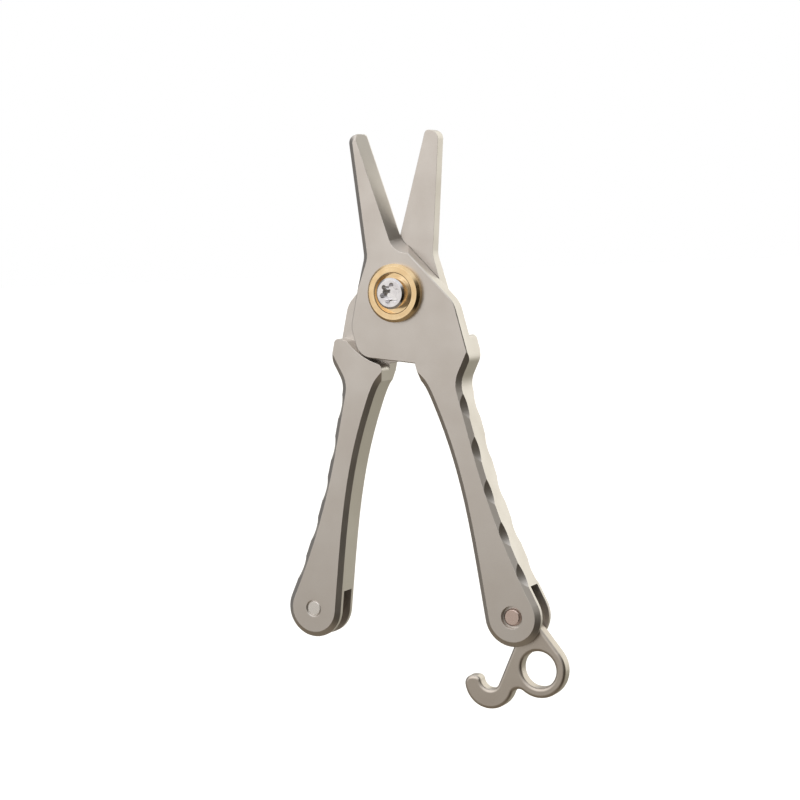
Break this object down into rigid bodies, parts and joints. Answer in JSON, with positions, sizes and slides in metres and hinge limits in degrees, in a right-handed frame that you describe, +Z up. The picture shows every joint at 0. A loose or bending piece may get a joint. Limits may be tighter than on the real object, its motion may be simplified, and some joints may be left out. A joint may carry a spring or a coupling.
{
  "type": "multi tool",
  "caption": "Flat pocket snips with straight blades, scalloped slotted handles, a brass-collared pivot screw, and a swinging latch with a hook and a key ring eye.",
  "frame": {"origin": "on the pivot's axis, midway through the tool's thickness", "axes": "+Z up the blades, +Y along the pivot's axis towards the back, +X to the right seen from the front; the tool is open and stands with its blades up"},
  "size_m": [0.0458, 0.0082, 0.0871],
  "materials": {
    "lever_steel": "fine bead blast",
    "latch_steel": "fine bead blast, tumbled edges",
    "collar_brass": "turned and polished",
    "polished_steel": "polished",
    "washer_bronze": "plain",
    "pin_steel": "ground"
  },
  "bodies": {
    "front_half": {"front_lever": "lever_steel", "front_collar": "collar_brass", "pivot_screw": "polished_steel", "pivot_barrel": "polished_steel", "latch_pin": "pin_steel"},
    "rear_half": {"rear_lever": "lever_steel", "rear_collar": "collar_brass", "pivot_washer": "washer_bronze", "catch_pin": "pin_steel"},
    "latch": {"latch": "latch_steel"}
  },
  "joints": [
    {"name": "lever_pivot", "type": "hinge", "parent": "front_half", "child": "rear_half", "pos_m": [0, 0, 0], "axis": [0, -1, 0], "range_deg": [-32.2, 27.8]},
    {"name": "latch_swing", "type": "hinge", "parent": "front_half", "child": "latch", "pos_m": [0.01679, 0, -0.04859], "axis": [0, 1, 0], "range_deg": [-60, 51.5]}
  ]
}
